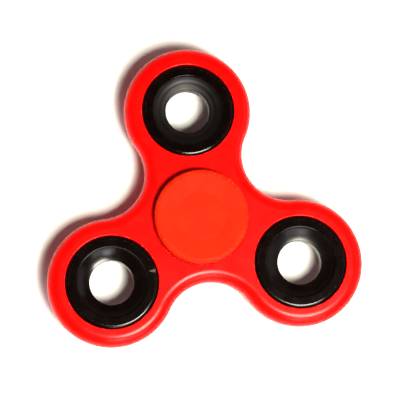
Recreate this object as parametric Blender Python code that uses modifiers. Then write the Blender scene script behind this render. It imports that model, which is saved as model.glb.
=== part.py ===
"""Three-lobed fidget spinner: a moulded body that turns on a size 608 ball bearing.

Units are metres and +Z is up. The origin is the centre of the bottom cap's flat face, on which
the spinner rests, and the spin axis is the Z axis. One lobe points along +Y.
"""

import math

import bmesh
import bpy
from mathutils import Matrix, Vector

MM = 0.001

# ---------------------------------------------------------------- driving dimensions
# Moulded body.
LOBE_COUNT = 3
LOBE_DISTANCE = 25.8 * MM           # spin axis to the centre of each lobe
LOBE_RADIUS = 15.15 * MM
WAIST_RADIUS = 10.75 * MM           # concave arc between two lobes
BODY_THICKNESS = 7.2 * MM
BODY_EDGE_RADIUS = 2.8 * MM
POCKET_RADIUS = 11.0 * MM           # through hole for a 22 mm bearing or weight
POCKET_CHAMFER = 0.25 * MM

# Lobe weights.
WEIGHT_WIDTH = 7.0 * MM
WEIGHT_RADIUS = 10.8 * MM
WEIGHT_EDGE_ROUNDING = 0.7 * MM
WEIGHT_DISH_RADIUS = 8.35 * MM      # where the flat rim turns down into the dish
WEIGHT_DISH_DEPTH = 1.8 * MM
WEIGHT_STEP_WIDTH = 0.25 * MM       # steep edge of the dish
WEIGHT_STEP_DEPTH = 0.55 * MM
WEIGHT_BORE_RADIUS = 5.2 * MM
WEIGHT_BORE_ROUNDING = 0.45 * MM

# Finger caps.
CAP_RADIUS = 11.05 * MM
CAP_RISE = 3.5 * MM                 # cap face above the body face
CAP_DISC_THICKNESS = 2.7 * MM
CAP_RIM_ROUNDING = 1.0 * MM
CAP_UNDER_ROUNDING = 0.4 * MM
CAP_SHOULDER_RADIUS = 5.7 * MM      # faces the inner ring only
CAP_STEM_RADIUS = 3.8 * MM
CAP_STEM_CHAMFER = 0.4 * MM
CAP_CORE_RADIUS = 2.3 * MM          # moulding core inside the stem
CAP_CORE_DRAFT = 0.15 * MM
CAP_END_GAP = 0.2 * MM              # stem end to the middle plane, and shoulder to the ring

# Size 608 ball bearing.
BEARING_WIDTH = 7.0 * MM
BEARING_RADIUS = 10.8 * MM
BEARING_BORE_RADIUS = 4.0 * MM
RING_CHAMFER = 0.3 * MM
OUTER_SHOULDER_RADIUS = 9.0 * MM
INNER_SHOULDER_RADIUS = 6.05 * MM
PITCH_RADIUS = 7.5 * MM
BALL_COUNT = 7
BALL_RADIUS = 1.9845 * MM
RACEWAY_CLEARANCE = 0.2 * MM

# Cage: two pressed ribbons held together by a rivet between each pair of balls.
CAGE_INNER_RADIUS = 6.75 * MM
CAGE_OUTER_RADIUS = 8.25 * MM
CAGE_SHEET = 0.25 * MM
CAGE_POCKET_CLEARANCE = 0.15 * MM
CAGE_SPLIT_GAP = 0.2 * MM
CAGE_WRAP_ANGLE = math.radians(61)  # how far the pressed pocket wraps over a ball
RIVET_SHANK_RADIUS = 0.25 * MM
RIVET_HOLE_RADIUS = 0.4 * MM
RIVET_HEAD_RADIUS = 0.55 * MM
RIVET_HEAD_HEIGHT = 0.3 * MM
RIVET_HEAD_GAP = 0.1 * MM

# Dust shields and the snap rings that hold them. Heights are from the bearing's middle plane.
SHIELD_INNER_RADIUS = 6.4 * MM
SHIELD_STEP_RADIUS = 8.4 * MM
SHIELD_STEP = 0.1 * MM
SHIELD_SHEET = 0.25 * MM
SHIELD_LOW = 2.55 * MM
SHIELD_OUTER_RADIUS = 9.65 * MM
SNAP_RING_LOW = 2.95 * MM
SNAP_RING_THICKNESS = 0.28 * MM
SNAP_RING_INNER_RADIUS = 8.85 * MM
SNAP_RING_OUTER_RADIUS = 9.65 * MM
SNAP_RING_OPENING = math.radians(28)
SNAP_GROOVE_LOW = 2.4 * MM
SNAP_GROOVE_HIGH = 3.34 * MM
SNAP_GROOVE_RADIUS = 9.85 * MM
SNAP_LIP_RADIUS = 9.35 * MM

# Facets.
TURNED_SEGMENTS = 32
RIVET_SEGMENTS = 8
BALL_SEGMENTS = 12
BALL_RINGS = 8
OUTLINE_STEP = math.radians(10)
MERGE_DISTANCE = 0.00001
FLAT_ANGLE = math.radians(1)        # faces closer than this to one plane are one face

# ---------------------------------------------------------------- sizes that follow from them
HALF_TURN = math.pi
MIDDLE_HEIGHT = BODY_THICKNESS / 2 + CAP_RISE
LOBE_ANGLES = [math.radians(90) + math.tau * i / LOBE_COUNT for i in range(LOBE_COUNT)]
BALL_ANGLES = [math.radians(90) + math.tau * i / BALL_COUNT for i in range(BALL_COUNT)]
RIVET_ANGLES = [angle + math.pi / BALL_COUNT for angle in BALL_ANGLES]


# ---------------------------------------------------------------- scene and materials
def clear_scene():
    """Remove every object that the file starts with."""
    for item in list(bpy.data.objects):
        bpy.data.objects.remove(item, do_unlink=True)


def new_collection(name):
    collection = bpy.data.collections.new(name)
    bpy.context.scene.collection.children.link(collection)
    return collection


def new_material(name, colour, roughness, metallic):
    material = bpy.data.materials.new(name)
    material.use_nodes = True
    shader = material.node_tree.nodes["Principled BSDF"]
    shader.inputs["Base Color"].default_value = (*colour, 1.0)
    shader.inputs["Roughness"].default_value = roughness
    shader.inputs["Metallic"].default_value = metallic
    return material


clear_scene()
PARTS = new_collection("fidget_spinner")
CUTTERS = new_collection("cutters")

RED_PLASTIC = new_material("red_plastic", (0.92, 0.012, 0.008), 0.28, 0.0)
CAP_PLASTIC = new_material("cap_plastic", (0.95, 0.045, 0.012), 0.55, 0.0)
BLACK_PAINT = new_material("black_paint", (0.012, 0.010, 0.009), 0.18, 0.0)
RING_STEEL = new_material("ring_steel", (0.62, 0.62, 0.63), 0.22, 1.0)
BALL_STEEL = new_material("ball_steel", (0.74, 0.74, 0.75), 0.06, 1.0)
CAGE_STEEL = new_material("cage_steel", (0.56, 0.54, 0.50), 0.35, 1.0)
SHIELD_STEEL = new_material("shield_steel", (0.60, 0.60, 0.61), 0.30, 1.0)
SPRING_STEEL = new_material("spring_steel", (0.42, 0.42, 0.44), 0.30, 1.0)


# ---------------------------------------------------------------- general helpers
def place(thing, parent, location=(0, 0, 0), rotation=(0, 0, 0)):
    thing.parent = parent
    thing.location = location
    thing.rotation_euler = rotation
    return thing


def new_axis(name, parent, location=(0, 0, 0)):
    """An empty on a joint's axis, which carries the pieces that turn about it."""
    axis = bpy.data.objects.new(name, None)
    axis.empty_display_type = "ARROWS"
    axis.empty_display_size = 5 * MM
    PARTS.objects.link(axis)
    return place(axis, parent, location)


def new_object(name, mesh, material=None, collection=PARTS):
    if material is not None and not mesh.materials:
        mesh.materials.append(material)
    thing = bpy.data.objects.new(name, mesh)
    collection.objects.link(thing)
    return thing


def mesh_from(name, builder):
    mesh = bpy.data.meshes.new(name)
    builder.to_mesh(mesh)
    builder.free()
    return mesh


def shade_round(mesh):
    """Smooth shading, with sharp edges where faces meet at more than 35 degrees."""
    mesh.shade_smooth()
    mesh.set_sharp_from_angle(angle=math.radians(35))


def polar(radius, angle):
    return Vector((radius * math.cos(angle), radius * math.sin(angle)))


def arc(centre, radius, start, end, steps):
    """Points on an arc, both ends included."""
    centre = Vector(centre)
    return [centre + polar(radius, start + (end - start) * i / steps) for i in range(steps + 1)]


def corner(x, y, radius, start, steps):
    """A quarter arc, turning clockwise from start, that rounds a corner of a turned profile."""
    return arc((x, y), radius, start, start - math.pi / 2, steps)


def mirrored(upper):
    """A whole profile from its upper half, which runs outwards over the top of the piece."""
    lower = [Vector((point[0], -point[1])) for point in reversed(upper) if abs(point[1]) > 1e-9]
    return [Vector(point) for point in upper] + lower


def turned_mesh(name, profile, closed):
    """The (radius, height) profile of a turned piece, as a wire in the XZ plane."""
    builder = bmesh.new()
    ring = [builder.verts.new((point[0], 0, point[1])) for point in profile]
    pairs = list(zip(ring, ring[1:]))
    if closed:
        pairs.append((ring[-1], ring[0]))
    for pair in pairs:
        builder.edges.new(pair)
    return mesh_from(name, builder)


def turn(thing, segments=TURNED_SEGMENTS):
    """Turn the object's wire profile about its own Z axis."""
    screw = thing.modifiers.new("Turned", "SCREW")
    screw.axis = "Z"
    screw.angle = math.tau
    screw.steps = segments
    screw.render_steps = segments
    screw.use_merge_vertices = True
    screw.merge_threshold = MERGE_DISTANCE
    screw.use_smooth_shade = True
    return thing


def as_cutter(thing):
    thing.hide_render = True
    thing.display_type = "WIRE"
    return thing


def cut(thing, cutter):
    boolean = thing.modifiers.new("Cut by " + cutter.name, "BOOLEAN")
    boolean.operation = "DIFFERENCE"
    boolean.solver = "EXACT"
    boolean.object = cutter


def flat_outline(name, points, thickness, material):
    """A closed outline in the XY plane, filled and extruded, as one welded mesh."""
    curve = bpy.data.curves.new(name, "CURVE")
    curve.dimensions = "2D"
    curve.fill_mode = "BOTH"
    curve.extrude = thickness / 2
    spline = curve.splines.new("POLY")
    spline.points.add(len(points) - 1)
    for target, point in zip(spline.points, points):
        target.co = (point.x, point.y, 0, 1)
    spline.use_cyclic_u = True
    outline = bpy.data.objects.new(name + "_outline", curve)
    PARTS.objects.link(outline)
    evaluated = outline.evaluated_get(bpy.context.evaluated_depsgraph_get())
    builder = bmesh.new()
    builder.from_mesh(bpy.data.meshes.new_from_object(evaluated))
    bmesh.ops.remove_doubles(builder, verts=builder.verts, dist=MERGE_DISTANCE)
    bmesh.ops.dissolve_limit(builder, angle_limit=FLAT_ANGLE, verts=builder.verts,
                             edges=builder.edges)
    bmesh.ops.recalc_face_normals(builder, faces=builder.faces)
    mesh = mesh_from(name, builder)
    shade_round(mesh)
    thing = new_object(name, mesh, material)
    thing.matrix_world = outline.matrix_world
    bpy.data.objects.remove(outline, do_unlink=True)
    return thing


# ---------------------------------------------------------------- moulded body
def body_outline():
    """Three convex lobe arcs and three concave waist arcs, each tangent to the next."""
    reach = LOBE_RADIUS + WAIST_RADIUS
    half_pitch = math.pi / LOBE_COUNT
    across = LOBE_DISTANCE * math.sin(half_pitch)
    waist_distance = LOBE_DISTANCE * math.cos(half_pitch) + math.sqrt(reach ** 2 - across ** 2)
    lobe_half_arc = math.pi - math.asin(waist_distance * math.sin(half_pitch) / reach)
    waist_half_arc = lobe_half_arc - half_pitch
    lobe_steps = round(2 * lobe_half_arc / OUTLINE_STEP)
    waist_steps = round(2 * waist_half_arc / OUTLINE_STEP)
    points = []
    for angle in LOBE_ANGLES:
        lobe = polar(LOBE_DISTANCE, angle)
        points += arc(lobe, LOBE_RADIUS, angle - lobe_half_arc, angle + lobe_half_arc, lobe_steps)[:-1]
        waist = polar(waist_distance, angle + half_pitch)
        inward = angle + half_pitch + math.pi
        points += arc(waist, WAIST_RADIUS, inward + waist_half_arc, inward - waist_half_arc, waist_steps)[:-1]
    return points


def pocket_cutter(name, centre):
    """A through hole for a 22 mm ring, with a small chamfer at both faces."""
    face = BODY_THICKNESS / 2
    past = face + 1 * MM
    flare = POCKET_RADIUS + POCKET_CHAMFER
    upper = [(0, past), (flare, past), (flare, face), (POCKET_RADIUS, face - POCKET_CHAMFER)]
    mesh = turned_mesh(name, mirrored(upper), closed=False)
    cutter = as_cutter(turn(new_object(name, mesh, collection=CUTTERS)))
    return place(cutter, None, (centre.x, centre.y, MIDDLE_HEIGHT))


def make_body(parent):
    body = flat_outline("tri_lobe_body", body_outline(), BODY_THICKNESS, RED_PLASTIC)
    bevel = body.modifiers.new("Rounded edges", "BEVEL")
    bevel.width = BODY_EDGE_RADIUS
    bevel.segments = 4
    bevel.limit_method = "ANGLE"
    bevel.angle_limit = math.radians(40)
    place(body, parent)
    cut(body, pocket_cutter("bearing_pocket", Vector((0, 0))))
    for number, angle in enumerate(LOBE_ANGLES, 1):
        cut(body, pocket_cutter(f"weight_pocket_{number}", polar(LOBE_DISTANCE, angle)))


# ---------------------------------------------------------------- lobe weights
def dish_depth(radius):
    """Depth of the dish below the rim. It is steeper at its edge than beside the bore."""
    foot = WEIGHT_DISH_RADIUS - WEIGHT_STEP_WIDTH
    inward = (foot - radius) / (foot - WEIGHT_BORE_RADIUS)
    fall = 1.5 * inward - 0.5 * inward ** 2
    return WEIGHT_STEP_DEPTH + (WEIGHT_DISH_DEPTH - WEIGHT_STEP_DEPTH) * fall


def weight_profile():
    """A ring with a rounded outer edge, a flat rim and a dish that falls to the bore."""
    face = WEIGHT_WIDTH / 2
    inner = WEIGHT_BORE_RADIUS + WEIGHT_BORE_ROUNDING
    bore_edge = face - dish_depth(inner) - WEIGHT_BORE_ROUNDING
    bore_round = corner(inner, bore_edge, WEIGHT_BORE_ROUNDING, math.pi, 2)
    steps = 3
    reach = WEIGHT_DISH_RADIUS - WEIGHT_STEP_WIDTH - inner
    radii = [inner + reach * i / steps for i in range(1, steps + 1)]
    wall = [(radius, face - dish_depth(radius)) for radius in radii]
    wall.append((WEIGHT_DISH_RADIUS, face))
    edge = corner(WEIGHT_RADIUS - WEIGHT_EDGE_ROUNDING, face - WEIGHT_EDGE_ROUNDING,
                  WEIGHT_EDGE_ROUNDING, math.pi / 2, 2)
    return mirrored(bore_round + wall + edge)


def make_weights(parent):
    mesh = turned_mesh("lobe_weight", weight_profile(), closed=True)
    for number, angle in enumerate(LOBE_ANGLES, 1):
        centre = polar(LOBE_DISTANCE, angle)
        weight = turn(new_object(f"lobe_weight_{number}", mesh, BLACK_PAINT))
        place(weight, parent, (centre.x, centre.y, 0))


# ---------------------------------------------------------------- finger caps
def cap_profile():
    """A disc on a shoulder and a hollow stem, from the face's centre to the core's top."""
    face = MIDDLE_HEIGHT
    under = face - CAP_DISC_THICKNESS
    shoulder_end = BEARING_WIDTH / 2 + CAP_END_GAP
    core_tip_radius = CAP_CORE_RADIUS - CAP_CORE_DRAFT
    rim = corner(CAP_RADIUS - CAP_RIM_ROUNDING, face - CAP_RIM_ROUNDING, CAP_RIM_ROUNDING, math.pi / 2, 3)
    lower_rim = corner(CAP_RADIUS - CAP_UNDER_ROUNDING, under + CAP_UNDER_ROUNDING,
                       CAP_UNDER_ROUNDING, 0, 2)
    stem = [
        (CAP_SHOULDER_RADIUS, under),
        (CAP_SHOULDER_RADIUS, shoulder_end),
        (CAP_STEM_RADIUS, shoulder_end),
        (CAP_STEM_RADIUS, CAP_END_GAP + CAP_STEM_CHAMFER),
        (CAP_STEM_RADIUS - CAP_STEM_CHAMFER, CAP_END_GAP),
        (CAP_CORE_RADIUS, CAP_END_GAP),
        (core_tip_radius, under),
        (0, under),
    ]
    return [(0, face)] + rim + lower_rim + stem


def make_caps(parent):
    mesh = turned_mesh("finger_cap", cap_profile(), closed=False)
    top = turn(new_object("top_cap", mesh, CAP_PLASTIC))
    place(top, parent)
    bottom = turn(new_object("bottom_cap", mesh, CAP_PLASTIC))
    place(bottom, parent, rotation=(HALF_TURN, 0, 0))


# ---------------------------------------------------------------- bearing rings and balls
def raceway(shoulder_radius, raceway_angle):
    """Half of a ball groove, from the shoulder down to the groove's bottom."""
    groove_radius = BALL_RADIUS + RACEWAY_CLEARANCE
    shoulder_angle = math.acos((shoulder_radius - PITCH_RADIUS) / groove_radius)
    return arc((PITCH_RADIUS, 0), groove_radius, shoulder_angle, raceway_angle, 3)


def outer_ring_profile():
    face = BEARING_WIDTH / 2
    groove = raceway(OUTER_SHOULDER_RADIUS, 0)[::-1]
    seat = [
        (OUTER_SHOULDER_RADIUS, SNAP_GROOVE_LOW),
        (SNAP_GROOVE_RADIUS, SNAP_GROOVE_LOW),
        (SNAP_GROOVE_RADIUS, SNAP_GROOVE_HIGH),
        (SNAP_LIP_RADIUS, SNAP_GROOVE_HIGH),
        (SNAP_LIP_RADIUS, face),
    ]
    edge = [(BEARING_RADIUS - RING_CHAMFER, face), (BEARING_RADIUS, face - RING_CHAMFER)]
    return mirrored(groove + seat + edge)


def inner_ring_profile():
    face = BEARING_WIDTH / 2
    ends = [
        (BEARING_BORE_RADIUS, face - RING_CHAMFER),
        (BEARING_BORE_RADIUS + RING_CHAMFER, face),
        (INNER_SHOULDER_RADIUS - RING_CHAMFER, face),
        (INNER_SHOULDER_RADIUS, face - RING_CHAMFER),
    ]
    return mirrored(ends + raceway(INNER_SHOULDER_RADIUS, math.pi))


def make_ring(name, profile, parent):
    place(turn(new_object(name, turned_mesh(name, profile, closed=True), RING_STEEL)), parent)


def make_balls(parent):
    builder = bmesh.new()
    bmesh.ops.create_uvsphere(builder, u_segments=BALL_SEGMENTS, v_segments=BALL_RINGS,
                              radius=BALL_RADIUS)
    mesh = mesh_from("bearing_ball", builder)
    mesh.shade_smooth()
    for number, angle in enumerate(BALL_ANGLES, 1):
        centre = polar(PITCH_RADIUS, angle)
        place(new_object(f"bearing_ball_{number}", mesh, BALL_STEEL), parent, (centre.x, centre.y, 0))


# ---------------------------------------------------------------- cage
def ribbon_height(point):
    """Height of the ribbon's ball side: a spherical pocket, a steep flank and a flat land."""
    pocket = BALL_RADIUS + CAGE_POCKET_CLEARANCE
    away = min((point - polar(PITCH_RADIUS, angle)).length for angle in BALL_ANGLES)
    flank_start = pocket * math.sin(CAGE_WRAP_ANGLE)
    if away < flank_start:
        return math.sqrt(pocket ** 2 - away ** 2)
    flank = pocket * math.cos(CAGE_WRAP_ANGLE) - (away - flank_start) * math.tan(CAGE_WRAP_ANGLE)
    return max(CAGE_SPLIT_GAP / 2, flank)


def ribbon_stations():
    """Angles around the ribbon: steps over each ball, its flank's foot and the rivet's land."""
    pocket = BALL_RADIUS + CAGE_POCKET_CLEARANCE
    steps = 3
    reaches = [pocket * math.sin(CAGE_WRAP_ANGLE * i / steps) for i in range(steps + 1)]
    drop = pocket * math.cos(CAGE_WRAP_ANGLE) - CAGE_SPLIT_GAP / 2
    reaches.append(reaches[-1] + drop / math.tan(CAGE_WRAP_ANGLE))
    swings = [2 * math.asin(reach / (2 * PITCH_RADIUS)) for reach in reaches]
    stations = []
    for angle in BALL_ANGLES:
        stations += [angle - swing for swing in reversed(swings[1:])]
        stations += [angle + swing for swing in swings]
    return stations


def ribbon_mesh():
    """The open surface of one cage half, two faces wide."""
    middle = (CAGE_INNER_RADIUS + CAGE_OUTER_RADIUS) / 2
    builder = bmesh.new()
    loops = []
    for radius in (CAGE_INNER_RADIUS, middle, CAGE_OUTER_RADIUS):
        points = [polar(radius, angle) for angle in ribbon_stations()]
        verts = [builder.verts.new((point.x, point.y, ribbon_height(point))) for point in points]
        loops.append([builder.edges.new(pair) for pair in zip(verts, verts[1:] + verts[:1])])
    for inner, outer in zip(loops, loops[1:]):
        bmesh.ops.bridge_loops(builder, edges=inner + outer)
    bmesh.ops.recalc_face_normals(builder, faces=builder.faces)
    upward = sum(face.normal.z for face in builder.faces)
    if upward < 0:
        bmesh.ops.reverse_faces(builder, faces=builder.faces)
    mesh = mesh_from("cage_ribbon", builder)
    shade_round(mesh)
    return mesh


def rivet_hole_cutter():
    """One small cylinder through the cage at each rivet."""
    builder = bmesh.new()
    for angle in RIVET_ANGLES:
        centre = polar(PITCH_RADIUS, angle)
        bmesh.ops.create_cone(builder, cap_ends=True, segments=RIVET_SEGMENTS, depth=4 * MM,
                              radius1=RIVET_HOLE_RADIUS, radius2=RIVET_HOLE_RADIUS,
                              matrix=Matrix.Translation((centre.x, centre.y, MIDDLE_HEIGHT)))
    return as_cutter(new_object("rivet_holes", mesh_from("rivet_holes", builder), collection=CUTTERS))


def make_cage(parent):
    mesh = ribbon_mesh()
    holes = rivet_hole_cutter()
    for name, flip in (("cage_upper_half", 0), ("cage_lower_half", HALF_TURN)):
        half = new_object(name, mesh, CAGE_STEEL)
        solidify = half.modifiers.new("Sheet", "SOLIDIFY")
        solidify.thickness = CAGE_SHEET
        solidify.offset = 1
        solidify.use_even_offset = True
        cut(half, holes)
        place(half, parent, rotation=(0, flip, 0))


def make_rivets(parent):
    under_head = CAGE_SPLIT_GAP / 2 + CAGE_SHEET + RIVET_HEAD_GAP
    crown = under_head + RIVET_HEAD_HEIGHT
    upper = [
        (0, crown),
        (0.6 * RIVET_HEAD_RADIUS, crown - 0.25 * RIVET_HEAD_HEIGHT),
        (RIVET_HEAD_RADIUS, under_head + 0.3 * RIVET_HEAD_HEIGHT),
        (RIVET_HEAD_RADIUS, under_head),
        (RIVET_SHANK_RADIUS, under_head),
    ]
    mesh = turned_mesh("cage_rivet", mirrored(upper), closed=False)
    for number, angle in enumerate(RIVET_ANGLES, 1):
        centre = polar(PITCH_RADIUS, angle)
        rivet = turn(new_object(f"cage_rivet_{number}", mesh, CAGE_STEEL), RIVET_SEGMENTS)
        place(rivet, parent, (centre.x, centre.y, 0))


# ---------------------------------------------------------------- shields and snap rings
def shield_profile():
    """A thin disc whose middle is pressed up by a small step."""
    low = SHIELD_LOW
    high = SHIELD_LOW + SHIELD_SHEET
    foot = SHIELD_STEP_RADIUS + 2 * SHIELD_STEP
    return [
        (SHIELD_INNER_RADIUS, high + SHIELD_STEP), (SHIELD_STEP_RADIUS, high + SHIELD_STEP),
        (foot, high), (SHIELD_OUTER_RADIUS, high),
        (SHIELD_OUTER_RADIUS, low), (foot, low),
        (SHIELD_STEP_RADIUS, low + SHIELD_STEP), (SHIELD_INNER_RADIUS, low + SHIELD_STEP),
    ]


def make_shields(parent):
    mesh = turned_mesh("bearing_shield", shield_profile(), closed=True)
    for name, flip in (("bearing_shield_top", 0), ("bearing_shield_bottom", HALF_TURN)):
        place(turn(new_object(name, mesh, SHIELD_STEEL)), parent, rotation=(flip, 0, 0))


def make_snap_rings(parent):
    start = LOBE_ANGLES[0] + SNAP_RING_OPENING / 2
    end = start + math.tau - SNAP_RING_OPENING
    outer = arc((0, 0), SNAP_RING_OUTER_RADIUS, start, end, TURNED_SEGMENTS)
    inner = arc((0, 0), SNAP_RING_INNER_RADIUS, end, start, TURNED_SEGMENTS)
    height = SNAP_RING_LOW + SNAP_RING_THICKNESS / 2
    for name, side in (("snap_ring_top", 1), ("snap_ring_bottom", -1)):
        ring = flat_outline(name, outer + inner, SNAP_RING_THICKNESS, SPRING_STEEL)
        place(ring, parent, (0, 0, side * height))


# ---------------------------------------------------------------- the spinner
def make_spinner():
    hub_axis = new_axis("hub_axis", None, (0, 0, MIDDLE_HEIGHT))
    spin_axis = new_axis("spin_axis", hub_axis)
    cage_axis = new_axis("cage_axis", hub_axis)
    make_caps(hub_axis)
    make_ring("bearing_inner_ring", inner_ring_profile(), hub_axis)
    make_body(spin_axis)
    make_weights(spin_axis)
    make_ring("bearing_outer_ring", outer_ring_profile(), spin_axis)
    make_shields(spin_axis)
    make_snap_rings(spin_axis)
    make_cage(cage_axis)
    make_rivets(cage_axis)
    make_balls(cage_axis)


make_spinner()
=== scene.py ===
"""Looks of the three-lobed fidget spinner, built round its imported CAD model.

Each piece is made where its CAD node lies and to that node's size, with its real edge roundings and
a procedural material. The two cage halves keep their CAD mesh and get a material only. Lengths are in
metres, and those of the object are written as millimetres times MM. The heights of profiles are
measured from the middle plane, about which the spinner is symmetric.
"""

import math

import bmesh
import bpy
from mathutils import Matrix, Vector


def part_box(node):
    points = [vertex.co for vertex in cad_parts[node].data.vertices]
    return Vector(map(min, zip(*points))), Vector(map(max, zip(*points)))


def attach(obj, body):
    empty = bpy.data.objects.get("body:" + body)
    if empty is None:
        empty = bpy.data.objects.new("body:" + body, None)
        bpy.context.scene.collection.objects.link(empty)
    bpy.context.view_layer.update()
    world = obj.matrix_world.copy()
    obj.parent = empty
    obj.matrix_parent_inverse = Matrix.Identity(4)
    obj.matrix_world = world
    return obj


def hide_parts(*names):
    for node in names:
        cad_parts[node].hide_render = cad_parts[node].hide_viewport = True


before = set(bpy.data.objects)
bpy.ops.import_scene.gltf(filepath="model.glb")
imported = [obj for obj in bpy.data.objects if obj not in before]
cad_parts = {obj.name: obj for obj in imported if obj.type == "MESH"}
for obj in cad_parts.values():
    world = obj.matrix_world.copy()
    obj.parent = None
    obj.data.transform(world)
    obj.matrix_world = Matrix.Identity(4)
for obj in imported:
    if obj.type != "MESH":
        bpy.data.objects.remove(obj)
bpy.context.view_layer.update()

MM = 0.001
LOBE_COUNT = 3
BALL_COUNT = 7


# ---------------------------------------------------------------- sizes that the CAD model gives
def extent(node):
    low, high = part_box(node)
    return high - low


def middle(node):
    low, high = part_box(node)
    return (low + high) / 2


def middles(stem, count):
    """Plan positions of the nodes stem_1 to stem_count."""
    return [middle(f"{stem}_{number}").xy for number in range(1, count + 1)]


MIDDLE = middle("tri_lobe_body").z
BODY_FACE = extent("tri_lobe_body").z / 2
CAP_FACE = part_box("top_cap")[1].z - MIDDLE
CAP_RADIUS = extent("top_cap").x / 2
RING_FACE = extent("bearing_outer_ring").z / 2
LOBES = middles("lobe_weight", LOBE_COUNT)
LOBE_DISTANCE = LOBES[0].length
LOBE_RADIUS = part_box("tri_lobe_body")[1].y - LOBES[0].y
BALLS = middles("bearing_ball", BALL_COUNT)
BALL_RADIUS = extent("bearing_ball_1").z / 2
PITCH_RADIUS = BALLS[0].length
RIVETS = middles("cage_rivet", BALL_COUNT)

# ---------------------------------------------------------------- sizes of the visible detail
# Body.
WAIST_RADIUS = 10.75 * MM
EDGE_RADIUS = 2.8 * MM
WALL_DRAFT = 0.04 * MM              # how far the wall stands back from the parting line
PARTING_HEIGHT = 0.12 * MM          # how far above the middle the ridge of the parting line goes
POCKET_RADIUS = 11.0 * MM
LOBE_MOUTH_ROUNDING = 0.15 * MM
CENTRE_MOUTH_ROUNDING = 0.5 * MM
LOBE_TO_WAIST = math.pi / LOBE_COUNT

# Ring weights.
PRESSED_RADIUS = 10.96 * MM         # outside of all that is pressed into a pocket
RING_EDGE_ROUNDING = 0.86 * MM
CREST_RADIUS = 10.1 * MM
CREST_HEIGHT = 0.06 * MM            # the crest above the flat rim inside it
RIM_HEIGHT = RING_FACE - CREST_HEIGHT
DISH_RADIUS = 8.38 * MM
DISH_DEPTH = 1.8 * MM
STEP_WIDTH = 0.27 * MM              # steep edge of the dish
STEP_DEPTH = 0.5 * MM
STEP_TOP_ROUNDING = 0.12 * MM
STEP_FOOT_ROUNDING = 0.15 * MM
STEP_FOOT = DISH_RADIUS - STEP_WIDTH
BORE_RADIUS = 5.2 * MM
BORE_ROUNDING = 0.135 * MM
FIRST_RIDGE = 5.7 * MM              # waves left by coarse turning in one dish
RIDGE_PITCH = 1.25 * MM
RIDGE_HEIGHT = 0.035 * MM
CHIP_RADIUS = 8.9 * MM              # where a flake of paint is missing from one rim
CHIP_ANGLE = math.radians(10.5)
CHIP_LENGTH = 1.7 * MM
CHIP_SPREAD = 0.3                   # its half width over its length

# Finger caps.
CAP_DISC = 2.7 * MM
CAP_HOLLOW = 0.3 * MM               # how far the middle of the face lies below its rim
SLOPE_END = 9.3 * MM                # where the hollow's long slope ends, just below the rim
SLOPE_END_DEPTH = 0.05 * MM
RIM_START = 9.9 * MM
SINK_RADIUS = 5.5 * MM              # faint ring over the shoulder inside
SINK_WIDTH = 0.35 * MM
SINK_DEPTH = 0.035 * MM
CAP_EDGE_ROUNDING = 0.95 * MM
CAP_BACK_ROUNDING = 0.4 * MM
SHOULDER_RADIUS = 5.7 * MM
SHOULDER_ROUNDING = 0.2 * MM
STEM_RADIUS = 3.8 * MM
STEM_TIP_ROUNDING = 0.35 * MM
CORE_RADIUS = 2.3 * MM              # the hole up the middle of the stem
CORE_DRAFT = 0.15 * MM
FAINT_ROUNDING = 0.1 * MM
END_GAP = 0.2 * MM                  # above the inner ring, and above the middle plane at the tip
GATE_ANGLE = math.radians(46)       # where the plastic entered the mould
GATE_HEIGHT = 0.12 * MM
GATE_WIDTH = 0.5 * MM

# Bearing rings.
OUTER_SHOULDER = 9.0 * MM
INNER_SHOULDER = 6.05 * MM
INNER_BORE = 4.0 * MM
GROOVE_CLEARANCE = 0.2 * MM
BEARING_ROUNDING = 0.3 * MM
SEAT_HEIGHT = 2.4 * MM              # ledge that the shield rests on
SEAT_RADIUS = 9.85 * MM
SNAP_GROOVE_TOP = 3.34 * MM
SNAP_LIP_RADIUS = 9.35 * MM
SEAT_ROUNDING = 0.05 * MM

# Rivets of the cage.
RIVET_RADIUS = 0.25 * MM
HEAD_LOW = 0.45 * MM
HEAD_HIGH = 0.75 * MM
HEAD_RADIUS = 0.55 * MM
HEAD_TAPER = 0.05 * MM
HEAD_ROUNDING = 0.22 * MM
HEAD_FOOT_ROUNDING = 0.03 * MM

# Dust shields.
SHIELD_LOW = 2.55 * MM
SHEET = 0.25 * MM
SHIELD_STEP_HEIGHT = 0.1 * MM       # how far the inner part stands out
SHIELD_INNER = 6.4 * MM
SHIELD_STEP_START = 8.4 * MM
SHIELD_STEP_END = 8.6 * MM
SHIELD_OUTER = 9.65 * MM
SHEET_ROUNDING = 0.06 * MM
WIDE_BEND = 0.3 * MM
TIGHT_BEND = 0.2 * MM

# Snap rings.
SNAP_LOW = 2.95 * MM
SNAP_THICKNESS = 0.28 * MM
SNAP_INNER = 8.85 * MM
SNAP_OUTER = 9.65 * MM
SNAP_ROUNDING = 0.07 * MM
SNAP_OPENING = math.radians(28)

# How finely shapes are divided and shaded.
ARC_STEP = math.radians(7.5)        # in the roundings of profiles
LOBE_STEPS = 96
WAIST_STEPS = 48
HOLE_STEPS = 120
DISH_STEPS = 24
TURN_STEPS = 160
INNER_RING_STEPS = 120
BALL_STEPS = 48
BALL_PROFILE_STEPS = 32
RIVET_STEPS = 24
HOLD = 0.2 * MM                     # width of the strips that keep edge wear off the flat faces
SHORTEST_HELD = 3 * HOLD
MERGE_DISTANCE = 0.0002 * MM
SHARP_ANGLE = math.radians(40)
FLAT_WEIGHT = 90                    # how strongly large faces set the shading beside them
FINEST_SPAN = 0.02                  # least distance in millimetres that wear is worked out over


# ---------------------------------------------------------------- outlines and profiles
def polar(radius, angle):
    return Vector((radius * math.cos(angle), radius * math.sin(angle)))


def heading(point):
    return math.atan2(point.y, point.x)


def arc(centre, radius, start, end, steps):
    """Points on an arc, without its last one."""
    return [Vector(centre) + polar(radius, start + (end - start) * i / steps) for i in range(steps)]


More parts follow.
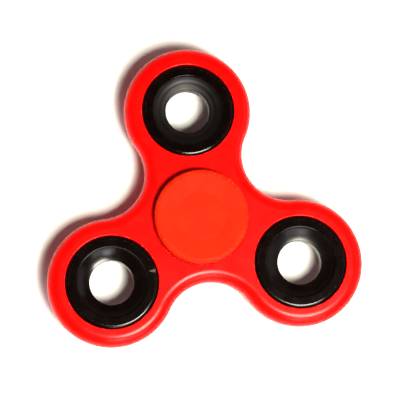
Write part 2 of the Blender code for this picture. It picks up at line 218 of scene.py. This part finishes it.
def rounded(corners):
    """A closed profile through corners (x, y, rounding radius)."""
    points = []
    for index, (x, y, radius) in enumerate(corners):
        here = Vector((x, y))
        if radius == 0:
            points.append(here)
            continue
        back = (Vector(corners[index - 1][:2]) - here).normalized()
        ahead = (Vector(corners[(index + 1) % len(corners)][:2]) - here).normalized()
        half = back.angle(ahead) / 2
        centre = here + (back + ahead).normalized() * radius / math.sin(half)
        first = here + back * radius / math.tan(half) - centre
        last = here + ahead * radius / math.tan(half) - centre
        swing = math.atan2(first.x * last.y - first.y * last.x, first.dot(last))
        steps = max(2, math.ceil(abs(swing) / ARC_STEP))
        points += [centre + polar(radius, heading(first) + swing * i / steps)
                   for i in range(steps + 1)]
    return points


def held(points):
    """The closed profile again, with a point near each end of its long straight runs."""
    result = []
    for here, following in zip(points, points[1:] + points[:1]):
        result.append(here)
        run = following - here
        if run.length > SHORTEST_HELD:
            step = run.normalized() * HOLD
            result += [here + step, following - step]
    return result


def mirrored(upper):
    """All the corners of a symmetric profile, from the ones above the middle plane."""
    return upper + [(x, -y, radius) for x, y, radius in reversed(upper)]


# ---------------------------------------------------------------- meshes
def mark_wear(builder):
    """Keep how tightly the surface bends outwards at each vertex, in radians per millimetre."""
    wear = builder.verts.layers.float.new("wear")
    for edge in builder.edges:
        if len(edge.link_faces) != 2:
            continue
        one, other = edge.link_faces
        span = (one.calc_center_median() - other.calc_center_median()).length
        bend = edge.calc_face_angle_signed(0)
        tightness = max(0, bend) / max(span / MM, FINEST_SPAN)
        for vertex in edge.verts:
            vertex[wear] = max(vertex[wear], tightness)


def finish_piece(name, builder, material, plan=(0, 0)):
    """Close the builder into a smooth shaded object, with its origin on the middle plane."""
    bmesh.ops.recalc_face_normals(builder, faces=builder.faces)
    mark_wear(builder)
    mesh = bpy.data.meshes.new(name)
    builder.to_mesh(mesh)
    builder.free()
    mesh.shade_smooth()
    mesh.set_sharp_from_angle(angle=SHARP_ANGLE)
    mesh.materials.append(material)
    piece = bpy.data.objects.new(name, mesh)
    bpy.context.scene.collection.objects.link(piece)
    piece.location = (plan[0], plan[1], MIDDLE)
    normals = piece.modifiers.new("Flat faces stay flat", "WEIGHTED_NORMAL")
    normals.weight = FLAT_WEIGHT
    normals.keep_sharp = True
    return piece


def skin(builder, loops, closed=False):
    """Quads between neighbouring loops of points, and from the last to the first one if closed.

    Returns the loops of vertices.
    """
    rows = [[builder.verts.new(point) for point in loop] for loop in loops]
    pairs = list(zip(rows, rows[1:]))
    if closed:
        pairs.append((rows[-1], rows[0]))
    for row, following in pairs:
        for index in range(len(row)):
            after = (index + 1) % len(row)
            builder.faces.new((row[index], row[after], following[after], following[index]))
    return rows


def turned(name, profile, material, plan=(0, 0), steps=TURN_STEPS, start=0.0, sweep=math.tau, shape=None):
    """Turn a closed (radius, height) profile. shape(radius, angle, height) may move its points."""
    whole = sweep == math.tau
    profile = held([Vector(point) for point in profile])
    builder = bmesh.new()
    loops = []
    for index in range(steps if whole else steps + 1):
        angle = start + sweep * index / steps
        loop = []
        for radius, height in profile:
            if shape is not None:
                radius, height = shape(radius, angle, height)
            loop.append((*polar(radius, angle), height))
        loops.append(loop)
    rows = skin(builder, loops, closed=whole)
    if not whole:
        builder.faces.new(rows[0])
        builder.faces.new(rows[-1])
    bmesh.ops.remove_doubles(builder, verts=builder.verts, dist=MERGE_DISTANCE)
    return finish_piece(name, builder, material, plan)


def fill_between(builder, loops):
    """A flat face inside the first loop of vertices, open at the others."""
    edges = []
    for loop in loops:
        edges += [builder.edges.get(pair) for pair in zip(loop, loop[1:] + loop[:1])]
    bmesh.ops.triangle_fill(builder, use_beauty=True, edges=edges)


# ---------------------------------------------------------------- materials
class Finish:
    """One node material while it is being put together."""

    def __init__(self, name):
        self.material = bpy.data.materials.new(name)
        self.material.use_nodes = True
        self.tree = self.material.node_tree
        self.shader = self.tree.nodes["Principled BSDF"]
        self.position = self.add("ShaderNodeTexCoord").outputs["Object"]

    def feed(self, socket, value):
        """Link the value if it is a socket, and set it if it is a constant."""
        if isinstance(value, bpy.types.NodeSocket):
            self.tree.links.new(value, socket)
        else:
            socket.default_value = value

    def add(self, kind, inputs=None, **settings):
        """A new node. settings are its properties and inputs what its sockets get."""
        node = self.tree.nodes.new(kind)
        for name, value in settings.items():
            setattr(node, name, value)
        for socket, value in (inputs or {}).items():
            self.feed(node.inputs[socket], value)
        return node

    def maths(self, operation, first, second=0.0):
        return self.add("ShaderNodeMath", {0: first, 1: second}, operation=operation).outputs[0]

    def between(self, value, low, high, to_low=0.0, to_high=1.0):
        """A smooth step from to_low to to_high as value goes from low to high."""
        inputs = {"Value": value, "From Min": low, "From Max": high, "To Min": to_low,
                  "To Max": to_high}
        node = self.add("ShaderNodeMapRange", inputs, interpolation_type="SMOOTHSTEP")
        return node.outputs[0]

    def blend(self, amount, first, second):
        """The first colour where amount is 0 and the second where it is 1. The first may be a socket."""
        if isinstance(first, tuple):
            first = (*first, 1)
        node = self.add("ShaderNodeMix", {0: amount, 6: first, 7: (*second, 1)}, data_type="RGBA")
        return node.outputs[2]

    def radius(self):
        """Distance from the piece's axis."""
        flat = self.add("ShaderNodeVectorMath", {0: self.position, 1: (1, 1, 0)}, operation="MULTIPLY")
        return self.add("ShaderNodeVectorMath", {0: flat.outputs[0]}, operation="LENGTH").outputs["Value"]

    def noise(self, size, detail=2.0, distortion=0.0):
        """Noise whose features are about size across."""
        inputs = {"Vector": self.position, "Scale": 1 / size, "Detail": detail, "Distortion": distortion}
        return self.add("ShaderNodeTexNoise", inputs).outputs[0]

    def clouds(self, size, low=0.0, high=1.0, detail=3.0):
        """Soft patches about size across, from low to high: the middle levels of noise, stretched."""
        return self.between(self.noise(size, detail), 0.3, 0.7, low, high)

    def grooves(self, size):
        """Noise that changes with the distance from the axis only, as turning marks do."""
        inputs = {"W": self.radius(), "Scale": 1 / size, "Detail": 3.0}
        return self.add("ShaderNodeTexNoise", inputs, noise_dimensions="1D").outputs[0]

    def edge_wear(self, low, high, grain):
        """Patchy wear where the surface bends outwards, none below low and most above high."""
        worn = self.add("ShaderNodeAttribute", attribute_name="wear").outputs["Fac"]
        patches = self.between(self.noise(grain, detail=4.0), 0.52, 0.66)
        return self.maths("MULTIPLY", self.between(worn, low, high), patches)

    def hairlines(self, size, width):
        """Thin wandering scratches, along the middle level of a distorted noise."""
        level = self.noise(size, detail=1.0, distortion=0.6)
        away = self.maths("ABSOLUTE", self.maths("SUBTRACT", level, 0.5))
        present = self.between(self.noise(3 * size, detail=1.0), 0.5, 0.6)
        return self.maths("MULTIPLY", self.between(away, 0.0, width, 1.0, 0.0), present)

    def specks(self, size, share):
        """Separate round specks. share is the part of the cells that holds one."""
        cells = self.add("ShaderNodeTexVoronoi", {"Vector": self.position, "Scale": 1 / size})
        dots = self.between(cells.outputs["Distance"], 0.12, 0.2, 1.0, 0.0)
        chosen = self.between(cells.outputs["Color"], 1 - share, 1.02 - share)
        return self.maths("MULTIPLY", dots, chosen)

    def wedge(self, tip, length, spread):
        """A ragged flake that widens from its tip along +X."""
        off = self.add("ShaderNodeVectorMath", {0: self.position, 1: tip}, operation="SUBTRACT")
        place = self.add("ShaderNodeSeparateXYZ", {0: off.outputs[0]})
        ragged = self.maths("MULTIPLY", self.noise(0.4 * MM, detail=3.0), 0.3 * MM)
        aside = self.maths("ADD", self.maths("ABSOLUTE", place.outputs["Y"]), ragged)
        inside = self.maths("SUBTRACT", self.maths("MULTIPLY", place.outputs["X"], spread), aside)
        near = self.between(place.outputs["X"], 0.9 * length, length, 1.0, 0.0)
        return self.maths("MULTIPLY", self.between(inside, -0.18 * MM, -0.1 * MM), near)

    def relief(self, *layers):
        """Bump from (height, depth) layers, each on top of the one before."""
        normal = None
        for height, depth in layers:
            inputs = {"Height": height, "Distance": depth, "Strength": 1.0}
            if normal is not None:
                inputs["Normal"] = normal
            normal = self.add("ShaderNodeBump", inputs).outputs["Normal"]
        self.feed(self.shader.inputs["Normal"], normal)

    def done(self, colour, roughness, specular=0.5, metallic=0.0):
        """Give the shader its inputs and return the finished material."""
        self.feed(self.shader.inputs["Base Color"], colour)
        self.feed(self.shader.inputs["Roughness"], roughness)
        self.feed(self.shader.inputs["Specular IOR Level"], specular)
        self.feed(self.shader.inputs["Metallic"], metallic)
        return self.material


def red_plastic():
    """Glossy injection moulding: faint flow marks, orange peel, hairlines and scuffed edges."""
    deep = (0.74, 0.0012, 0.0008)
    bright = (0.82, 0.0022, 0.0012)
    rubbed = (0.86, 0.085, 0.06)
    finish = Finish("glossy_red_plastic")
    flow = finish.between(finish.noise(9 * MM, detail=3.0, distortion=1.2), 0.35, 0.65)
    scuffs = finish.edge_wear(0.45, 3.0, grain=1.1 * MM)
    colour = finish.blend(flow, deep, bright)
    colour = finish.blend(finish.maths("MULTIPLY", scuffs, 0.45), colour, rubbed)
    smears = finish.clouds(4 * MM, 0.22, 0.26)
    roughness = finish.maths("ADD", smears, finish.maths("MULTIPLY", scuffs, 0.22))
    orange_peel = finish.noise(0.9 * MM)
    finish.relief((orange_peel, 0.008 * MM), (finish.hairlines(7 * MM, 0.004), -0.004 * MM))
    return finish.done(colour, roughness, specular=0.13)


def orange_red_plastic():
    """Matt moulding with an eroded grain, dull patches and a paler worn rim."""
    deep = (0.66, 0.011, 0.0006)
    bright = (0.72, 0.0145, 0.001)
    rubbed = (0.82, 0.1, 0.05)
    finish = Finish("matt_orange_red_plastic")
    scuffs = finish.edge_wear(0.6, 1.6, grain=0.7 * MM)
    colour = finish.blend(finish.clouds(5 * MM), deep, bright)
    colour = finish.blend(finish.maths("MULTIPLY", scuffs, 0.4), colour, rubbed)
    roughness = finish.clouds(1.4 * MM, 0.5, 0.62, detail=4.0)
    grain = finish.noise(0.22 * MM, detail=3.0)
    finish.relief((grain, 0.012 * MM))
    return finish.done(colour, roughness, specular=0.05)


def black_paint(name, rim_roughness, dish_roughness, groove_depth, specular, chip=None):
    """Gloss black over turned steel: turning marks, dust specks, worn crests and maybe a chip."""
    deep = (0.0016, 0.0006, 0.0004)
    thin = (0.0032, 0.0014, 0.001)
    dust = (0.2, 0.18, 0.17)
    rubbed = (0.05, 0.04, 0.04)
    bare = (0.07, 0.068, 0.06)
    finish = Finish(name)
    colour = finish.blend(finish.clouds(3 * MM), deep, thin)
    specks = finish.specks(0.9 * MM, share=0.06)
    colour = finish.blend(finish.maths("MULTIPLY", specks, 0.5), colour, dust)
    scuffs = finish.edge_wear(2.0, 8.0, grain=0.6 * MM)
    colour = finish.blend(finish.maths("MULTIPLY", scuffs, 0.3), colour, rubbed)
    if chip is not None:
        colour = finish.blend(finish.wedge(chip, CHIP_LENGTH, CHIP_SPREAD), colour, bare)
    gloss = finish.between(finish.radius(), STEP_FOOT, DISH_RADIUS, dish_roughness, rim_roughness)
    smears = finish.clouds(2.2 * MM, 0.0, 0.04)
    roughness = finish.maths("ADD", finish.maths("ADD", gloss, smears),
                             finish.maths("MULTIPLY", scuffs, 0.2))
    finish.relief((finish.grooves(0.35 * MM), groove_depth), (finish.noise(0.8 * MM), 0.006 * MM))
    return finish.done(colour, roughness, specular)


def steel(name, clean, stained, roughness, groove_size, groove_depth):
    """Bare steel with turning marks, fine stains and a spread of polish."""
    finish = Finish(name)
    stains = finish.between(finish.noise(1.5 * MM, detail=4.0), 0.35, 0.7)
    colour = finish.blend(stains, clean, stained)
    polish = finish.clouds(0.8 * MM, 0.8 * roughness, 1.25 * roughness)
    finish.relief((finish.grooves(groove_size), groove_depth),
                  (finish.hairlines(2 * MM, 0.01), -0.002 * MM))
    return finish.done(colour, polish, metallic=1.0)


def white_floor():
    finish = Finish("white_floor")
    colour = finish.blend(finish.clouds(60 * MM, detail=2.0), (0.9, 0.9, 0.9), (0.91, 0.91, 0.91))
    return finish.done(colour, 0.9)


RED = red_plastic()
CAP_RED = orange_red_plastic()
RING_STEEL = steel("ring_steel", (0.6, 0.6, 0.61), (0.5, 0.5, 0.5), roughness=0.22,
                   groove_size=0.2 * MM, groove_depth=0.004 * MM)
BALL_STEEL = steel("ball_steel", (0.74, 0.74, 0.75), (0.66, 0.66, 0.66), roughness=0.07,
                   groove_size=1.0 * MM, groove_depth=0.0005 * MM)
CAGE_STEEL = steel("cage_steel", (0.56, 0.54, 0.5), (0.42, 0.4, 0.36), roughness=0.36,
                   groove_size=0.6 * MM, groove_depth=0.004 * MM)
SHIELD_STEEL = steel("shield_steel", (0.6, 0.6, 0.61), (0.52, 0.52, 0.53), roughness=0.3,
                     groove_size=0.15 * MM, groove_depth=0.003 * MM)
SPRING_STEEL = steel("spring_steel", (0.4, 0.4, 0.42), (0.3, 0.3, 0.31), roughness=0.3,
                     groove_size=0.3 * MM, groove_depth=0.003 * MM)


# ---------------------------------------------------------------- placing pieces
def stands_for(piece, node, body):
    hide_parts(node)
    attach(piece, body)


def each_side(profile):
    """The place name and profile of a piece above the middle plane, and of its twin below."""
    return [("top", profile), ("bottom", [(radius, -height) for radius, height in profile])]


# ---------------------------------------------------------------- moulded body
def body_outline(inset):
    """Lobe and waist arcs drawn in by inset. They share their tangent points at any inset."""
    reach = LOBE_RADIUS + WAIST_RADIUS
    across = LOBE_DISTANCE * math.sin(LOBE_TO_WAIST)
    waist_distance = LOBE_DISTANCE * math.cos(LOBE_TO_WAIST) + math.sqrt(reach ** 2 - across ** 2)
    lobe_half_arc = math.pi - math.asin(waist_distance * math.sin(LOBE_TO_WAIST) / reach)
    waist_half_arc = lobe_half_arc - LOBE_TO_WAIST
    points = []
    for lobe in LOBES:
        out = heading(lobe)
        points += arc(lobe, LOBE_RADIUS - inset, out - lobe_half_arc, out + lobe_half_arc, LOBE_STEPS)
        waist = out + LOBE_TO_WAIST
        inward = waist + math.pi
        points += arc(polar(waist_distance, waist), WAIST_RADIUS + inset,
                      inward + waist_half_arc, inward - waist_half_arc, WAIST_STEPS)
    return points


def at_height(points, height):
    return [(point.x, point.y, height) for point in points]


def wall_profile():
    """Outside of the body from face to face, as (minus inset, height) points.

    The slice leaves out the guide point on the face and the run that would close the profile.
    """
    upper = held(rounded([
        (-EDGE_RADIUS - WALL_DRAFT - MM, BODY_FACE, 0),
        (-WALL_DRAFT, BODY_FACE, EDGE_RADIUS),
        (-WALL_DRAFT, PARTING_HEIGHT, 0),
        (0, 0, 0),
    ]))[2:-2]
    return upper + [Vector((point.x, -point.y)) for point in reversed(upper[:-1])]


def pocket_profile(rounding):
    """Wall of a pocket from face to face, as (radius, height) points, with rounded mouths.

    The slice leaves out the guide points, on the face and at the middle, and the closing run.
    """
    upper = held(rounded([
        (POCKET_RADIUS + MM, BODY_FACE, 0),
        (POCKET_RADIUS, BODY_FACE, rounding),
        (POCKET_RADIUS, 0, 0),
    ]))[2:-3]
    return upper + [Vector((point.x, -point.y)) for point in reversed(upper)]


def make_body():
    builder = bmesh.new()
    outside = skin(builder, [at_height(body_outline(-point.x), point.y) for point in wall_profile()])
    top, bottom = [outside[0]], [outside[-1]]
    pockets = [(Vector((0, 0)), CENTRE_MOUTH_ROUNDING)]
    pockets += [(lobe, LOBE_MOUTH_ROUNDING) for lobe in LOBES]
    for centre, rounding in pockets:
        wall = skin(builder, [at_height(arc(centre, point.x, 0, math.tau, HOLE_STEPS), point.y)
                              for point in pocket_profile(rounding)])
        top.append(wall[0])
        bottom.append(wall[-1])
    fill_between(builder, top)
    fill_between(builder, bottom)
    body = finish_piece("spinner_body", builder, RED)
    stands_for(body, "tri_lobe_body", "spinner")


# ---------------------------------------------------------------- lobe weights
def dish_height(radius, ridge_height):
    """Height of the dish, which is steeper at its edge than beside the bore, and may have ridges."""
    inward = (STEP_FOOT - radius) / (STEP_FOOT - BORE_RADIUS)
    depth = STEP_DEPTH + (DISH_DEPTH - STEP_DEPTH) * (1.5 * inward - 0.5 * inward ** 2)
    ridge = ridge_height * math.cos(math.tau * (radius - FIRST_RIDGE) / RIDGE_PITCH)
    return RIM_HEIGHT - depth + ridge


def weight_profile(ridge_height):
    width = STEP_FOOT - BORE_RADIUS
    radii = [BORE_RADIUS + width * i / DISH_STEPS for i in range(1, DISH_STEPS)]
    return rounded(mirrored([
        (BORE_RADIUS, RIM_HEIGHT - DISH_DEPTH, BORE_ROUNDING),
        *[(radius, dish_height(radius, ridge_height), 0) for radius in radii],
        (STEP_FOOT, RIM_HEIGHT - STEP_DEPTH, STEP_FOOT_ROUNDING),
        (DISH_RADIUS, RIM_HEIGHT, STEP_TOP_ROUNDING),
        (CREST_RADIUS - CREST_HEIGHT, RIM_HEIGHT, 0),
        (CREST_RADIUS, RING_FACE, 0),
        (PRESSED_RADIUS, RING_FACE, RING_EDGE_ROUNDING),
    ]))


def make_weights():
    """Three rings, which differ in turning and paint: coarse, chipped and fine."""
    chip = (*polar(CHIP_RADIUS, CHIP_ANGLE), RIM_HEIGHT)
    coarse = black_paint("gloss_black_coarse_turned", rim_roughness=0.09, dish_roughness=0.42,
                         groove_depth=0.02 * MM, specular=0.24)
    chipped = black_paint("gloss_black_chipped", rim_roughness=0.12, dish_roughness=0.17,
                          groove_depth=0.004 * MM, specular=0.22, chip=chip)
    fine = black_paint("gloss_black_fine_turned", rim_roughness=0.12, dish_roughness=0.24,
                       groove_depth=0.004 * MM, specular=0.2)
    variants = [(RIDGE_HEIGHT, coarse), (0, chipped), (0, fine)]
    for number, (centre, (ridge_height, paint)) in enumerate(zip(LOBES, variants), 1):
        ring = turned(f"ring_weight_{number}", weight_profile(ridge_height), paint, centre)
        stands_for(ring, f"lobe_weight_{number}", "spinner")


# ---------------------------------------------------------------- finger caps
def gate_mark(radius, angle, height):
    """Swells the wall of the cap's disc into a small stub where the plastic entered the mould."""
    if radius > 0.97 * CAP_RADIUS:
        aside = (angle - GATE_ANGLE) * CAP_RADIUS
        radius += GATE_HEIGHT * math.exp(-((aside / GATE_WIDTH) ** 2))
    return radius, height


def make_caps():
    back = CAP_FACE - CAP_DISC
    shoulder_end = RING_FACE + END_GAP
    hollow = CAP_FACE - CAP_HOLLOW
    profile = rounded([
        (0, hollow, 0),
        (SINK_RADIUS - SINK_WIDTH, hollow, 0),
        (SINK_RADIUS, hollow - SINK_DEPTH, 0),
        (SINK_RADIUS + SINK_WIDTH, hollow, 0),
        (SLOPE_END, CAP_FACE - SLOPE_END_DEPTH, 0),
        (RIM_START, CAP_FACE, 0),
        (CAP_RADIUS, CAP_FACE, CAP_EDGE_ROUNDING),
        (CAP_RADIUS, back, CAP_BACK_ROUNDING),
        (SHOULDER_RADIUS, back, SHOULDER_ROUNDING),
        (SHOULDER_RADIUS, shoulder_end, FAINT_ROUNDING),
        (STEM_RADIUS, shoulder_end, FAINT_ROUNDING),
        (STEM_RADIUS, END_GAP, STEM_TIP_ROUNDING),
        (CORE_RADIUS, END_GAP, FAINT_ROUNDING),
        (CORE_RADIUS - CORE_DRAFT, back, 0),
        (0, back, 0),
    ])
    for place, one_side in each_side(profile):
        cap = turned(f"finger_{place}_cap", one_side, CAP_RED, shape=gate_mark)
        stands_for(cap, f"{place}_cap", "hub")


# ---------------------------------------------------------------- bearing
def raceway(shoulder, side):
    """The upper half of a ball groove, from its shoulder down to the middle plane."""
    groove = BALL_RADIUS + GROOVE_CLEARANCE
    swing = math.acos(abs(shoulder - PITCH_RADIUS) / groove)
    steps = math.ceil(swing / ARC_STEP)
    return [(PITCH_RADIUS + side * groove * math.cos(swing * i / steps),
             groove * math.sin(swing * i / steps), 0) for i in range(1, steps + 1)]


def make_bearing_rings():
    outer = raceway(OUTER_SHOULDER, 1) + [
        (OUTER_SHOULDER, SEAT_HEIGHT, SEAT_ROUNDING),
        (SEAT_RADIUS, SEAT_HEIGHT, SEAT_ROUNDING),
        (SEAT_RADIUS, SNAP_GROOVE_TOP, SEAT_ROUNDING),
        (SNAP_LIP_RADIUS, SNAP_GROOVE_TOP, 0),
        (SNAP_LIP_RADIUS, RING_FACE, SEAT_ROUNDING),
        (PRESSED_RADIUS, RING_FACE, BEARING_ROUNDING),
    ]
    ring = turned("bearing_outer", rounded(mirrored(outer)), RING_STEEL)
    stands_for(ring, "bearing_outer_ring", "spinner")
    inner = [
        (INNER_BORE, RING_FACE, BEARING_ROUNDING),
        (INNER_SHOULDER, RING_FACE, BEARING_ROUNDING),
        *reversed(raceway(INNER_SHOULDER, -1)),
    ]
    ring = turned("bearing_inner", rounded(mirrored(inner)), RING_STEEL, steps=INNER_RING_STEPS)
    stands_for(ring, "bearing_inner_ring", "hub")


def make_balls():
    angles = [math.pi * i / BALL_PROFILE_STEPS for i in range(BALL_PROFILE_STEPS + 1)]
    profile = [(BALL_RADIUS * math.sin(angle), BALL_RADIUS * math.cos(angle)) for angle in angles]
    for number, centre in enumerate(BALLS, 1):
        ball = turned(f"ball_{number}_polished", profile, BALL_STEEL, centre, steps=BALL_STEPS)
        stands_for(ball, f"bearing_ball_{number}", f"ball_{number}")


def make_rivets():
    profile = rounded(mirrored([
        (0, HEAD_HIGH, 0),
        (HEAD_RADIUS - HEAD_TAPER, HEAD_HIGH, HEAD_ROUNDING),
        (HEAD_RADIUS, HEAD_LOW, HEAD_FOOT_ROUNDING),
        (RIVET_RADIUS, HEAD_LOW, 0),
    ]))
    for number, centre in enumerate(RIVETS, 1):
        rivet = turned(f"rivet_{number}", profile, CAGE_STEEL, centre, steps=RIVET_STEPS)
        stands_for(rivet, f"cage_rivet_{number}", "cage")


def finish_cage():
    for name in ("cage_upper_half", "cage_lower_half"):
        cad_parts[name].material_slots[0].material = CAGE_STEEL


def make_shields():
    low, high = SHIELD_LOW, SHIELD_LOW + SHEET
    profile = rounded([
        (SHIELD_INNER, high + SHIELD_STEP_HEIGHT, SHEET_ROUNDING),
        (SHIELD_STEP_START, high + SHIELD_STEP_HEIGHT, WIDE_BEND),
        (SHIELD_STEP_END, high, TIGHT_BEND),
        (SHIELD_OUTER, high, SHEET_ROUNDING),
        (SHIELD_OUTER, low, SHEET_ROUNDING),
        (SHIELD_STEP_END, low, WIDE_BEND),
        (SHIELD_STEP_START, low + SHIELD_STEP_HEIGHT, TIGHT_BEND),
        (SHIELD_INNER, low + SHIELD_STEP_HEIGHT, SHEET_ROUNDING),
    ])
    for place, one_side in each_side(profile):
        shield = turned(f"dust_shield_{place}", one_side, SHIELD_STEEL)
        stands_for(shield, f"bearing_shield_{place}", "spinner")


def make_snap_rings():
    low, high = SNAP_LOW, SNAP_LOW + SNAP_THICKNESS
    wire = rounded([
        (SNAP_INNER, high, SNAP_ROUNDING),
        (SNAP_OUTER, high, SNAP_ROUNDING),
        (SNAP_OUTER, low, SNAP_ROUNDING),
        (SNAP_INNER, low, SNAP_ROUNDING),
    ])
    start = heading(LOBES[0]) + SNAP_OPENING / 2
    for place, one_side in each_side(wire):
        ring = turned(f"snap_wire_{place}", one_side, SPRING_STEEL, start=start,
                      sweep=math.tau - SNAP_OPENING)
        stands_for(ring, f"snap_ring_{place}", "spinner")


# ---------------------------------------------------------------- floor, light and camera
FLOOR_HALF = 2.0                    # half the side of the square floor
LENS = 151.5                        # focal length and sensor width are in millimetres
SENSOR = 36
NEAREST = 0.01                      # clipping distances
FARTHEST = 10
EYE = Vector((-41.1 * MM, -42.8 * MM, 402.1 * MM))
LOOKED_AT = Vector((0.7 * MM, 4.56 * MM, MIDDLE))
ROLL = math.radians(6.59)


def make_floor():
    builder = bmesh.new()
    corners = [(-1, -1, 0), (1, -1, 0), (1, 1, 0), (-1, 1, 0)]
    builder.faces.new([builder.verts.new(Vector(corner) * FLOOR_HALF) for corner in corners])
    mesh = bpy.data.meshes.new("floor")
    builder.to_mesh(mesh)
    builder.free()
    mesh.materials.append(white_floor())
    floor = bpy.data.objects.new("floor", mesh)
    bpy.context.scene.collection.objects.link(floor)


def aim(thing, target, up=Vector((0, 0, 1))):
    """Point the thing's -Z axis at the target, with its +Y axis towards up."""
    back = (thing.location - target).normalized()
    right = up.cross(back).normalized()
    thing.rotation_euler = Matrix((right, back.cross(right), back)).transposed().to_euler()


def add_light(name, azimuth, elevation, distance, width, height, power, colour=(1, 1, 1)):
    """A rectangular light that faces the object. Its angles are in degrees, its power in watts."""
    light = bpy.data.lights.new(name, "AREA")
    light.shape = "RECTANGLE"
    light.size = width
    light.size_y = height
    light.energy = power
    light.color = colour
    lamp = bpy.data.objects.new(name, light)
    bpy.context.scene.collection.objects.link(lamp)
    flat = polar(distance * math.cos(math.radians(elevation)), math.radians(azimuth))
    lamp.location = (flat.x, flat.y, MIDDLE + distance * math.sin(math.radians(elevation)))
    aim(lamp, Vector((0, 0, MIDDLE)))


def make_lights():
    """A small warm key, a bluish window, and two panels low on the front and the right."""
    add_light("key", azimuth=-63, elevation=67.5, distance=0.39, width=0.12, height=0.12,
              power=3.4, colour=(1.0, 0.96, 0.82))
    add_light("window", azimuth=-86, elevation=42, distance=0.6, width=0.11, height=0.16,
              power=0.6, colour=(0.86, 0.8, 1.0))
    add_light("low_panel", azimuth=-78, elevation=30, distance=0.6, width=0.4, height=0.3, power=1.3)
    add_light("right_fill", azimuth=-5, elevation=32, distance=0.6, width=0.5, height=0.25, power=0.3)


def make_world():
    """A dark room, paler towards the horizon."""
    world = bpy.data.worlds.new("studio")
    world.use_nodes = True
    bpy.context.scene.world = world
    tree = world.node_tree
    direction = tree.nodes.new("ShaderNodeTexCoord").outputs["Generated"]
    split = tree.nodes.new("ShaderNodeSeparateXYZ")
    tree.links.new(direction, split.inputs[0])
    ramp = tree.nodes.new("ShaderNodeValToRGB")
    ramp.color_ramp.interpolation = "EASE"
    stops = [(0.03, 0.4), (0.75, 0.02)]
    for element, (rise, grey) in zip(ramp.color_ramp.elements, stops):
        element.position = rise
        element.color = (grey, grey, grey, 1)
    tree.links.new(split.outputs["Z"], ramp.inputs[0])
    tree.links.new(ramp.outputs[0], tree.nodes["Background"].inputs["Color"])


def make_camera():
    camera = bpy.data.cameras.new("camera")
    camera.sensor_width = SENSOR
    camera.lens = LENS
    camera.clip_start = NEAREST
    camera.clip_end = FARTHEST
    eye = bpy.data.objects.new("camera", camera)
    bpy.context.scene.collection.objects.link(eye)
    eye.location = EYE
    aim(eye, LOOKED_AT, up=Vector((math.sin(ROLL), math.cos(ROLL), 0)))
    bpy.context.scene.camera = eye


make_body()
make_weights()
make_caps()
make_bearing_rings()
make_balls()
make_rivets()
finish_cage()
make_shields()
make_snap_rings()
make_floor()
make_lights()
make_world()
make_camera()
bpy.context.scene.view_settings.view_transform = "Standard"
